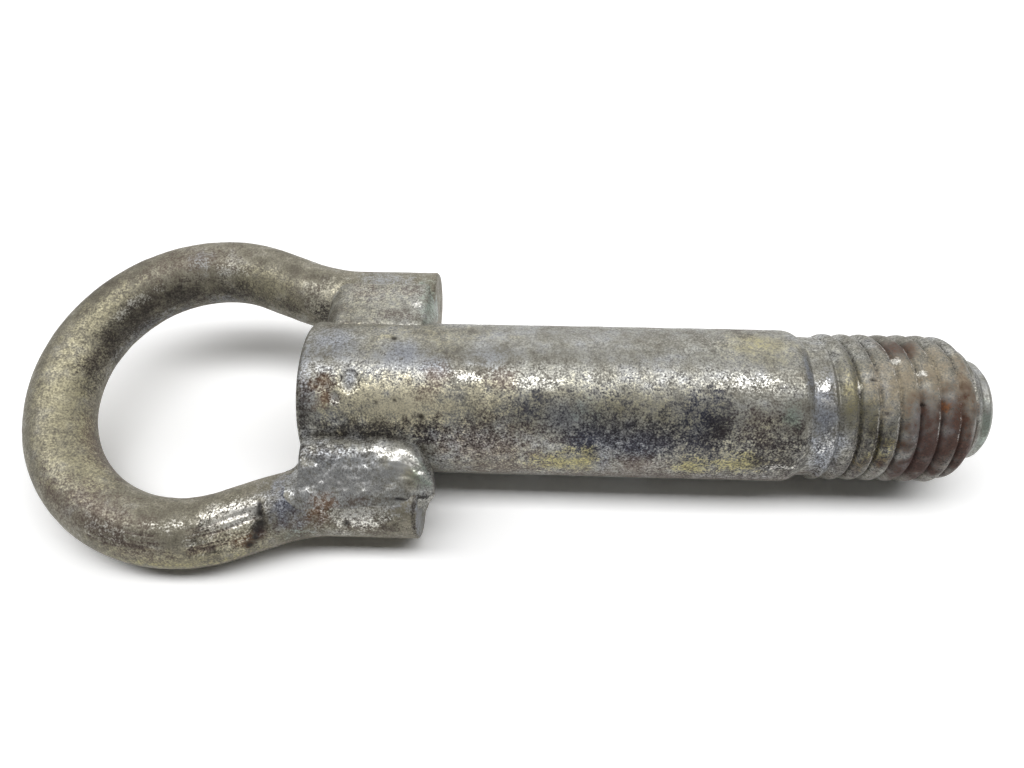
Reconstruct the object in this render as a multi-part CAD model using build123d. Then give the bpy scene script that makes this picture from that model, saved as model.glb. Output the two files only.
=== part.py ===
# Screw-in tow eye: a threaded bar with a bent rod loop welded along both sides of its plain end.
# It lies as it comes to rest: the bar and one side of the loop touch the ground, the other side is raised.
# Millimetres, +Z up. The origin is on the bar's axis where the neck begins, and the thread points along +X.
import os
from math import asin, atan2, ceil, cos, degrees, radians, sin, sqrt, tan

from build123d import *

# Thread, 60 degree metric form, right-hand
thread_d = 24.0
thread_pitch = 3.0
thread_length = 23.4  # from the neck to the step at the nose
thread_runout = 3.0  # length over which the groove rises to the neck
thread_first_groove = 0.8  # where the groove's middle line first crosses the top of the bar
thread_end_r = 5.2  # rounding that brings the thread down to its end face
thread_end_drop = 3.0  # how far that rounding falls below the crest
thread_cutter_clear = 0.15  # how far the groove's cutter stands above the crest
depth_per_pitch = 0.6134
crest_per_pitch = 1 / 6

# Plain nose ahead of the thread
nose_length = 2.9
nose_ledge = 0.95  # flat ring left around the nose on the thread's end face
nose_edge = 0.7

# Neck and bar
neck_length = 2.4
neck_step = 0.6  # from the thread's crest down to the neck
bar_step = 0.5  # from the thread's crest up to the bar
bar_length = 79.3  # from the welded end to the neck
bar_end_edge = 1.0  # rounded edge at the welded end
shoulder_r = 3.6  # rounding from the bar down to the neck

# Rod loop
rod_d = 11.0
eye_d = 37.5  # clear width of the eye
eye_lead = 6.5  # straight run between the eye's arc and the leg's bend
leg_bend_r = 30.0  # centre line of the bend that brings a leg alongside the bar
leg_bend_reach = 6.1  # from the bar's end to where the leg runs straight
leg_reach = 19.3  # from the bar's end to the leg's cut end
leg_end_edge = 0.6

# Welds between the legs and the bar
root_gap = 0.35  # opening between rod and bar that the weld metal doesn't reach
weld_root = 1.2  # height of a weld's root above the line from bar to rod
weld_end_r = 1.6  # rounding of a weld's two ends
weld_overlap = 2.5  # how far a weld is drawn into bar and rod, before they are cut out of it
weld_toe = 0.5  # how far its face is drawn on into them
weld_start = 1.2  # from the bar's end to where the long welds begin

# Heavy weld, above and below the near leg
heavy_bar_angle = 37.0  # where it ends on the bar, measured from the line between bar and rod
heavy_rod_angle = 110.0  # where it ends on the rod
heavy_bulge = 1.1  # how far its face stands proud of flat
heavy_overrun = 1.2  # past the leg's cut end

# Lighter weld above the far leg, and a short one of the same section below it
light_bar_angle = 44.0
light_rod_angle = 88.0
light_bulge = 0.6
light_overrun = 0.2
short_weld_length = 8.0  # halfway along the leg

# Worked out from the sizes above
thread_r = thread_d / 2
thread_depth = depth_per_pitch * thread_pitch
thread_root_r = thread_r - thread_depth
thread_crest = crest_per_pitch * thread_pitch
flank_slope = tan(radians(30))
bar_r = thread_r + bar_step
neck_r = thread_r - neck_step
end_face_r = thread_r - thread_end_drop
nose_r = end_face_r - nose_ledge
thread_end_x = neck_length + thread_length
nose_end_x = thread_end_x + nose_length
bar_end_x = -bar_length

rod_r = rod_d / 2
eye_r = eye_d / 2 + rod_r
leg_y = bar_r + rod_r + root_gap
leg_bend_x = bar_end_x + leg_bend_reach
leg_end_x = bar_end_x + leg_reach
bend_centre_y = leg_y + leg_bend_r
eye_to_bend = sqrt((eye_r + leg_bend_r) ** 2 + eye_lead**2 - bend_centre_y**2)
eye_x = leg_bend_x - eye_to_bend
eye_arc_start = degrees(atan2(bend_centre_y, eye_to_bend) + atan2(eye_lead, eye_r + leg_bend_r))

# Rolled about the bar until the near side of the loop, at -Y, touches the ground that the bar lies on
rest_roll = degrees(asin((bar_r - rod_r) / eye_r))


def along_from_drop(radius, drop):
    # length of an arc's run along the axis while it falls by drop from a tangent start
    return sqrt(2 * radius * drop - drop**2)


def round_middle(start, radius):
    # middle point of a quarter round that starts upright at start and turns towards +X
    return (start[0] + radius * (1 - cos(radians(45))), start[1] + radius * sin(radians(45)))


def falling_arc_middle(start_x, start_r, radius, fall_x):
    # point halfway along +X on an arc that leaves start along the axis and falls away
    half = fall_x / 2
    return (start_x + half, start_r - radius + sqrt(radius**2 - half**2))


def threaded_blank():
    shoulder_run = along_from_drop(shoulder_r, bar_step + neck_step)
    end_run = along_from_drop(thread_end_r, thread_end_drop)
    round_start = (bar_end_x, bar_r - bar_end_edge)
    round_end = (bar_end_x + bar_end_edge, bar_r)
    shoulder_x = -shoulder_run
    thread_x = neck_length + neck_step
    end_x = thread_end_x - end_run
    outline = [
        Line((bar_end_x, 0), round_start),
        ThreePointArc(round_start, round_middle(round_start, bar_end_edge), round_end),
        Line(round_end, (shoulder_x, bar_r)),
        ThreePointArc(
            (shoulder_x, bar_r),
            falling_arc_middle(shoulder_x, bar_r, shoulder_r, shoulder_run),
            (0, neck_r),
        ),
        Line((0, neck_r), (neck_length, neck_r)),
        Line((neck_length, neck_r), (thread_x, thread_r)),
        Line((thread_x, thread_r), (end_x, thread_r)),
        ThreePointArc(
            (end_x, thread_r),
            falling_arc_middle(end_x, thread_r, thread_end_r, end_run),
            (thread_end_x, end_face_r),
        ),
        Line((thread_end_x, end_face_r), (thread_end_x, nose_r)),
        Line((thread_end_x, nose_r), (nose_end_x - nose_edge, nose_r)),
        Line((nose_end_x - nose_edge, nose_r), (nose_end_x, nose_r - nose_edge)),
        Line((nose_end_x, nose_r - nose_edge), (nose_end_x, 0)),
        Line((nose_end_x, 0), (bar_end_x, 0)),
    ]
    return revolve(make_face(outline), axis=Axis.X)


def thread_turns():
    # one turn of the groove's cutter, which stands a little above the crest so that its top is clear of it
    half_crest = (thread_pitch - thread_crest) / 2
    half_root = half_crest - thread_depth * flank_slope
    half_top = half_crest + thread_cutter_clear * flank_slope
    middle_r = thread_r - thread_depth / 2
    start = (thread_first_groove, 0, 0)
    path = Helix(thread_pitch, thread_pitch, middle_r, center=start, direction=(1, 0, 0))
    outward = (path @ 0) - Vector(start)
    axial = Plane(start, x_dir=(1, 0, 0), z_dir=Vector(1, 0, 0).cross(outward))
    section = axial * Polygon(
        (-half_top, thread_r + thread_cutter_clear),
        (-half_root, thread_root_r),
        (half_root, thread_root_r),
        (half_top, thread_r + thread_cutter_clear),
        align=None,
    )
    turn = sweep(section, path=path, is_frenet=True)
    # the neck's metal carries on below the first turns as a cone that dips under the groove's floor
    cone_length = 2 * thread_runout
    cone_end_x = neck_length + cone_length
    cone_end_r = neck_r - cone_length * (neck_r - thread_root_r) / thread_runout
    kept = make_face(
        Polyline(
            (bar_end_x, 0),
            (bar_end_x, neck_r),
            (neck_length, neck_r),
            (cone_end_x, cone_end_r),
            (cone_end_x, 0),
            (bar_end_x, 0),
        )
    )
    core = revolve(kept, axis=Axis.X)
    count = ceil((thread_end_x - thread_first_groove) / thread_pitch)
    return [Pos(number * thread_pitch, 0, 0) * turn - core for number in range(count)]


def leg_path(side):
    # straight lead off the eye, reverse bend and straight leg, for the leg on one side of the bar
    arc_angle = radians(eye_arc_start)
    lead_start = (eye_x + eye_r * cos(arc_angle), side * eye_r * sin(arc_angle))

    def on_bend(angle):
        return (leg_bend_x - leg_bend_r * cos(angle), side * (bend_centre_y - leg_bend_r * sin(angle)))

    bend_start = on_bend(arc_angle)
    bend_middle = on_bend((arc_angle + radians(90)) / 2)
    bend_end = (leg_bend_x, side * leg_y)
    return [
        Line(lead_start, bend_start),
        ThreePointArc(bend_start, bend_middle, bend_end),
        Line(bend_end, (leg_end_x, side * leg_y)),
    ]


def rod_loop():
    eye_arc = CenterArc((eye_x, 0), eye_r, eye_arc_start, 360 - 2 * eye_arc_start)
    path = Wire(leg_path(1) + [eye_arc] + leg_path(-1))
    section = Plane((leg_end_x, leg_y, 0), z_dir=(-1, 0, 0)) * Circle(rod_r)
    loop = sweep(section, path=path)
    cut_ends = loop.faces().filter_by(Plane.YZ)
    return chamfer(cut_ends.edges(), leg_end_edge)


def weld_bead(side, face, section, start, length, bar, loop):
    # section across the bar: the valley between rod and bar, closed by a bulging face
    bar_angle, rod_angle, bulge = section
    rod_middle = Vector(leg_y, 0)
    on_bar = Vector(cos(radians(bar_angle)), sin(radians(bar_angle))) * bar_r
    on_rod = rod_middle + Vector(-cos(radians(rod_angle)), sin(radians(rod_angle))) * rod_r
    chord = on_rod - on_bar
    outward = Vector(-chord.Y, chord.X).normalized()
    half_chord = chord.length / 2
    face_r = (half_chord**2 + bulge**2) / (2 * bulge)
    face_middle = (on_bar + on_rod) * 0.5 + outward * (bulge - face_r)
    half_angle = asin(half_chord / face_r) + weld_toe / face_r

    def on_face(angle):
        return face_middle + (chord.normalized() * sin(angle) + outward * cos(angle)) * face_r

    inside_bar = on_bar - on_bar.normalized() * weld_overlap
    inside_rod = on_rod - (on_rod - rod_middle).normalized() * weld_overlap
    root_bar = Vector(bar_r - weld_overlap, weld_root)
    root_rod = Vector(leg_y - rod_r + weld_overlap, weld_root)
    face_ends = (on_face(-half_angle), on_face(half_angle))
    corners = [face_ends[1], inside_rod, root_rod, root_bar, inside_bar, face_ends[0]]

    def placed(point):
        return (side * point.X, face * point.Y)

    across = Plane((bar_end_x + start, 0, 0), x_dir=(0, 1, 0), z_dir=(1, 0, 0))
    outline = make_face(
        [
            ThreePointArc(placed(face_ends[0]), placed(on_face(0)), placed(face_ends[1])),
            Polyline([placed(point) for point in corners]),
        ]
    )
    bead = extrude(across * outline, amount=length, dir=(1, 0, 0))
    ends = bead.edges().filter_by(GeomType.CIRCLE)
    bead = fillet(ends, weld_end_r)
    return bead - bar - loop


def save(name, solid):
    export_step(solid.rotate(Axis.X, rest_roll), f"parts/{name}.step")


os.makedirs("parts", exist_ok=True)

blank = threaded_blank()
shank = blank - thread_turns()
# the thread runs round the bar by itself, so it isn't rolled with the loop
export_step(shank, "parts/shank.step")

loop = rod_loop()
save("eye_loop", loop)

heavy = (heavy_bar_angle, heavy_rod_angle, heavy_bulge)
heavy_length = leg_reach + heavy_overrun - weld_start
light = (light_bar_angle, light_rod_angle, light_bulge)
light_length = leg_reach + light_overrun - weld_start
short_weld_start = (leg_reach - short_weld_length) / 2
far, near = 1, -1
top, under = 1, -1
save("weld_far_top", weld_bead(far, top, light, weld_start, light_length, blank, loop))
save("weld_far_under", weld_bead(far, under, light, short_weld_start, short_weld_length, blank, loop))
save("weld_near_top", weld_bead(near, top, heavy, weld_start, heavy_length, blank, loop))
save("weld_near_under", weld_bead(near, under, heavy, weld_start, heavy_length, blank, loop))
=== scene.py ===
import math

import bpy
import numpy as np
from mathutils import Euler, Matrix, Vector, noise


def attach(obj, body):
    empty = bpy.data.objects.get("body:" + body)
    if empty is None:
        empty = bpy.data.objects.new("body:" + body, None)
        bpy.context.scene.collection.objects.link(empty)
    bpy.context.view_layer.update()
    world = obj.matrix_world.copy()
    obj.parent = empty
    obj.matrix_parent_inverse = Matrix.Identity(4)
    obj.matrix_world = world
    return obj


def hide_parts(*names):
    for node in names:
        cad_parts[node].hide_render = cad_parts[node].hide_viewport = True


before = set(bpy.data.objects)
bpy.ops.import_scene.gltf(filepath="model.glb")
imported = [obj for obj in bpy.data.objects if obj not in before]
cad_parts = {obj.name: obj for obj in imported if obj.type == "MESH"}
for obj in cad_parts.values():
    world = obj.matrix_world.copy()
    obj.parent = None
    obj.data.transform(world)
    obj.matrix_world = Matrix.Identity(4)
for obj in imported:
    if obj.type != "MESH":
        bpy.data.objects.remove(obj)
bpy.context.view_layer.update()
print("frame loaded:", ", ".join(sorted(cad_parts)))

mm = 0.001  # shapes are worked out in millimetres, meshes are in metres


# shared shape helpers

restRoll = 16.778  # the part lies rolled about its bar, the near side of the loop on the floor
markEdge = 1.3  # a painted mark fades out at this many times its size


def rolled(points):
    # from the loop's own level plane to the way the part lies
    c, s = math.cos(math.radians(restRoll)), math.sin(math.radians(restRoll))
    x, y, z = points[..., 0], points[..., 1], points[..., 2]
    return np.stack([x, y * c - z * s, z * c + y * s], -1)


def lumps(points, size, octaves=2):
    # uneven heights from about -1 to 1, with lumps of this size in mm, each octave half as wide
    flat = points.reshape(-1, 3)
    heights = [noise.fractal(Vector(point) / size, 1.0, 2.0, octaves) for point in flat]
    return np.array(heights).reshape(points.shape[:-1])


def fade(distance, inner, outer):
    # 1 inside the inner distance, falling smoothly to 0 at the outer one
    part = np.clip((outer - distance) / (outer - inner), 0, 1)
    return part * part * (3 - 2 * part)


def reachOf(along, around, radius, spot):
    # how far each point is from a spot, where 1 is the spot's edge
    place, angle, halfLength, halfWidth = spot[:4]
    turned = (around - angle + 180) % 360 - 180
    return np.hypot((along - place) / halfLength, np.radians(turned) * radius / halfWidth)


def surfaceNoise(skin, look):
    # broad waves, fine grain, and how the edges of painted marks wander
    broad = lumps(skin, look["waveSize"], 3)
    fine = lumps(skin, look["grainSize"], 2)
    wander = look["wander"] * lumps(skin, look["wanderSize"], 3)
    return broad, fine, wander


def uneven(values, level, swing):
    return np.clip(level + swing * values, 0, 1)


def raiseLayer(layers, layer, values):
    layers[layer] = np.maximum(layers[layer], values)


def paintMarks(marks, reachTo, wander):
    # one value per point for each finish layer, from soft marks with uneven edges
    layers = {}
    for layer, spots in marks.items():
        layers[layer] = np.zeros_like(wander)
        for spot in spots:
            strength = spot[-1]
            raiseLayer(layers, layer, strength * fade(reachTo(spot) + wander, 0.0, markEdge))
    return layers


def sinkDents(dents, reachTo):
    # depth of the dents, and how much their walls are darkened
    depth, wallDark = 0.0, 0.0
    for dent in dents:
        deepest, flatPart = dent[4:]
        sunk = fade(reachTo(dent), flatPart, 1)
        depth = np.maximum(depth, deepest * sunk)
        wallDark = np.maximum(wallDark, 4 * sunk * (1 - sunk))  # most halfway down the wall
    return depth, wallDark


def closedTube(name, rings, poles, layers):
    # skin over closed rings, with a point at either end
    rows, columns = rings.shape[:2]
    points = np.vstack([rings.reshape(-1, 3), poles])
    here = np.arange(rows * columns).reshape(rows, columns)
    beside = np.roll(here, -1, axis=1)
    sides = np.stack([here[:-1], beside[:-1], beside[1:], here[1:]], -1).reshape(-1, 4)
    startPole = rows * columns
    startFan = [[startPole, b, a] for a, b in zip(here[0].tolist(), beside[0].tolist())]
    endFan = [[startPole + 1, a, b] for a, b in zip(here[-1].tolist(), beside[-1].tolist())]
    mesh = bpy.data.meshes.new(name)
    mesh.from_pydata((points * mm).tolist(), [], sides.tolist() + startFan + endFan)
    a, b, c = (points[sides[:, corner]] for corner in range(3))
    if np.einsum("ij,ij->i", a, np.cross(b, c)).sum() < 0:
        mesh.flip_normals()
    mesh.shade_smooth()
    for layer, values in layers.items():
        ends = [values[0].mean(), values[-1].mean()]
        stored = mesh.attributes.new(layer, "FLOAT", "POINT")
        stored.data.foreach_set("value", np.append(values.ravel(), ends).astype(np.float32))
    piece = bpy.data.objects.new(name, mesh)
    bpy.context.collection.objects.link(piece)
    return piece


# finishes

def tint(red, green, blue):
    # screen colour from 0 to 255, as Blender's linear colour
    def linear(value):
        part = value / 255
        return part / 12.92 if part <= 0.04045 else ((part + 0.055) / 1.055) ** 2.4
    return (linear(red), linear(green), linear(blue), 1.0)


def addNode(tree, kind, inputs=None, **settings):
    node = tree.nodes.new(kind)
    for key, value in settings.items():
        setattr(node, key, value)
    for key, value in (inputs or {}).items():
        socket = node.inputs[key]
        if isinstance(value, bpy.types.NodeSocket):
            tree.links.new(value, socket)
        else:
            socket.default_value = value
    return node


def addNoise(tree, place, size, detail, rough):
    # size is the width of a grain in mm
    inputs = {"Vector": place, "Scale": 1 / size, "Detail": detail, "Roughness": rough}
    return addNode(tree, "ShaderNodeTexNoise", inputs).outputs["Fac"]


def addMath(tree, first, second, operation="ADD"):
    node = addNode(tree, "ShaderNodeMath", {0: first, 1: second}, operation=operation)
    return node.outputs["Value"]


def addShare(tree, base, value, share, operation="ADD"):
    # base with a share of the value added, or taken off
    return addMath(tree, base, addMath(tree, value, share, "MULTIPLY"), operation)


def addBlend(tree, first, second, share):
    # this share of the first value, and the rest of the second
    return addShare(tree, addMath(tree, first, share, "MULTIPLY"), second, 1 - share)


def readLayer(tree, layer):
    return addNode(tree, "ShaderNodeAttribute", attribute_name=layer).outputs["Fac"]


def addRange(tree, value, low, high, toLow=0.0, toHigh=1.0):
    inputs = {"Value": value, "From Min": low, "From Max": high, "To Min": toLow, "To Max": toHigh}
    return addNode(tree, "ShaderNodeMapRange", inputs).outputs["Result"]


def addRamp(tree, value, stops):
    ramp = addNode(tree, "ShaderNodeValToRGB", {"Fac": value})
    elements = ramp.color_ramp.elements
    while len(elements) < len(stops):
        elements.new(0.5)
    for element, (position, colour) in zip(elements, stops):
        element.position = position
        element.color = colour
    return ramp.outputs["Color"]


def addMix(tree, cover, under, over, blend="MIX"):
    # the numbers are the mix node's sockets for colours
    node = addNode(tree, "ShaderNodeMix", data_type="RGBA", blend_type=blend)
    for index, value in ((0, cover), (6, under), (7, over)):
        if isinstance(value, bpy.types.NodeSocket):
            tree.links.new(value, node.inputs[index])
        else:
            node.inputs[index].default_value = value
    return node.outputs[2]


finishLook = {
    # unevenness of four sizes: width in mm, detail, roughness
    "grain": (0.3, 2.0, 0.65),
    "fleck": (0.9, 2.0, 0.6),
    "mottle": (2.8, 4.0, 0.62),
    "cloud": (12.0, 2.0, 0.5),
    "noiseSpan": (0.38, 0.62),  # where most of the noise lies
    "mottleShare": 0.6,  # in the plating's shades, where the rest is cloud
    "speckleGrain": 0.72,  # grain in the speckle, where the rest is fleck
    "edgeGrain": 0.6,  # grain in the layers' edges, where the rest is fleck
    "edgeFine": 0.85,  # grain and fleck in the layers' edges, where the rest is mottle
    "layerStart": 0.2,  # a layer that is painted thinner than this fades away
    "clumpSpan": (0.4, 0.6),
    "clumpLeast": 0.6,  # speckle between its clumps
    "smoothLeast": 0.1,  # speckle left on a smooth surface
    "bumpHeight": 0.05,  # in mm
    "mottleBump": 0.6,
    "metallic": 0.6,
    "roughness": (0.36, 0.64),  # on the pale and on the dark grains
    "dullRough": 0.3,  # rust and grit are rougher, and less like metal
    "dullMetal": 0.5,
    "bareAndHighlightRough": 0.14,  # bare metal and the painted highlights are finer, and more like metal
    "bareAndHighlightMetal": 0.35,
    # darkest to palest plating
    "plating": [
        (0.36, tint(122, 118, 108)),
        (0.46, tint(148, 146, 137)),
        (0.54, tint(162, 161, 155)),
        (0.64, tint(176, 177, 177)),
    ],
    # speckle that darkens or lightens the plating
    "speckle": [
        (0.36, (0.16, 0.15, 0.15, 1)),
        (0.45, (0.68, 0.67, 0.67, 1)),
        (0.54, (1.07, 1.07, 1.06, 1)),
        (0.64, (1.85, 1.85, 1.8, 1)),
    ],
    # painted layers: colour, most cover, how much the speckle breaks them up;
    # below 0 a layer settles in the dark grains
    "layers": {
        "pale": (tint(184, 184, 178), 0.6, 0.7),
        "khaki": (tint(176, 169, 138), 0.75, 0.8),
        "olive": (tint(126, 119, 86), 0.75, 0.7),
        "cream": (tint(222, 214, 188), 0.75, 0.8),
        "blue": (tint(142, 148, 163), 0.65, 0.8),
        "navy": (tint(56, 62, 84), 0.88, -0.9),
        "yellow": (tint(172, 164, 108), 0.75, 1.2),
        "brown": (tint(116, 99, 90), 0.7, -0.9),
        # soot and dirt, and also painted shade in creases, in the thread's grooves, on the eye's inner
        # side and along the bar's lower side
        "sootAndShade": (tint(54, 48, 48), 0.82, -0.7),
        "teal": (tint(146, 166, 154), 0.6, 0.6),
        "grit": (tint(156, 144, 122), 0.9, 0.7),
        "rust": (tint(124, 97, 74), 0.85, -0.9),
        "deepRust": (tint(77, 46, 35), 0.92, 0.5),
        "amber": (tint(150, 96, 48), 0.9, 0.3),
        # bare worn metal, and also painted highlights along highlight lines
        "bareAndHighlight": (tint(236, 234, 228), 0.85, 1.1),
        "pit": (tint(24, 20, 20), 0.95, 0.7),
    },
}


def paintLayers(tree, colour, edge, look):
    # the painted layers over the plating, and how much each one covers
    covers = {}
    start = look["layerStart"]
    for layer, (paint, most, ragged) in look["layers"].items():
        painted = readLayer(tree, layer)
        broken = addRange(tree, edge, *look["noiseSpan"], -ragged / 2, ragged / 2)
        gated = addRange(tree, addMath(tree, broken, painted), start, 1.0, 0.0, most)
        covers[layer] = addMath(tree, gated, addRange(tree, painted, 0.0, start), "MULTIPLY")
        colour = addMix(tree, covers[layer], colour, paint)
    return colour, covers


def setGloss(tree, shader, speckling, covers, look):
    paleRough, darkRough = look["roughness"]
    rough = addRange(tree, speckling, *look["noiseSpan"], darkRough, paleRough)
    dull = addMath(tree, addMath(tree, covers["rust"], covers["grit"]), covers["deepRust"])
    rough = addShare(tree, rough, dull, look["dullRough"])
    rough = addShare(tree, rough, covers["bareAndHighlight"], look["bareAndHighlightRough"], "SUBTRACT")
    tree.links.new(rough, shader.inputs["Roughness"])
    metal = addShare(tree, look["metallic"], covers["bareAndHighlight"], look["bareAndHighlightMetal"])
    metal = addShare(tree, metal, dull, look["dullMetal"], "SUBTRACT")
    tree.links.new(addRange(tree, metal, 0.0, 1.0), shader.inputs["Metallic"])


def steelFinish(name, look):
    material = bpy.data.materials.new(name)
    material.use_nodes = True
    tree = material.node_tree
    shader = tree.nodes["Principled BSDF"]
    local = addNode(tree, "ShaderNodeTexCoord").outputs["Object"]
    scaled = addNode(tree, "ShaderNodeVectorMath", {0: local, "Scale": 1 / mm}, operation="SCALE")
    place = scaled.outputs["Vector"]
    grain = addNoise(tree, place, *look["grain"])
    fleck = addNoise(tree, place, *look["fleck"])
    mottle = addNoise(tree, place, *look["mottle"])
    cloud = addNoise(tree, place, *look["cloud"])
    shade = addBlend(tree, mottle, cloud, look["mottleShare"])
    speckling = addBlend(tree, grain, fleck, look["speckleGrain"])
    edge = addBlend(tree, addBlend(tree, grain, fleck, look["edgeGrain"]), mottle, look["edgeFine"])
    colour = addRamp(tree, shade, look["plating"])
    colour, covers = paintLayers(tree, colour, edge, look)
    # the speckle comes in clumps, and fades where a surface is smooth
    clumps = addRange(tree, shade, *look["clumpSpan"], look["clumpLeast"], 1.0)
    speckled = addRange(tree, readLayer(tree, "smooth"), 0.0, 1.0, 1.0, look["smoothLeast"])
    speckled = addMath(tree, speckled, clumps, "MULTIPLY")
    dotted = addMix(tree, 1.0, colour, addRamp(tree, speckling, look["speckle"]), "MULTIPLY")
    tree.links.new(addMix(tree, speckled, colour, dotted), shader.inputs["Base Color"])
    setGloss(tree, shader, speckling, covers, look)
    height = addShare(tree, addMath(tree, speckling, speckled, "MULTIPLY"), mottle, look["mottleBump"])
    inputs = {"Height": height, "Distance": look["bumpHeight"] * mm, "Strength": 1.0}
    bump = addNode(tree, "ShaderNodeBump", inputs)
    tree.links.new(bump.outputs["Normal"], shader.inputs["Normal"])
    return material


# the rod's plating is duller and more olive
rodFinishLook = dict(finishLook, metallic=0.4, roughness=(0.42, 0.7), plating=[
    (0.36, tint(112, 106, 93)),
    (0.46, tint(134, 129, 113)),
    (0.54, tint(148, 143, 128)),
    (0.64, tint(164, 161, 152)),
])

barFinish = steelFinish("weatheredBarSteel", finishLook)
rodFinish = steelFinish("weatheredRodSteel", rodFinishLook)
weldFinish = steelFinish("weatheredWeldMetal", finishLook)
print("finishes made")


# threaded shank

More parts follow.
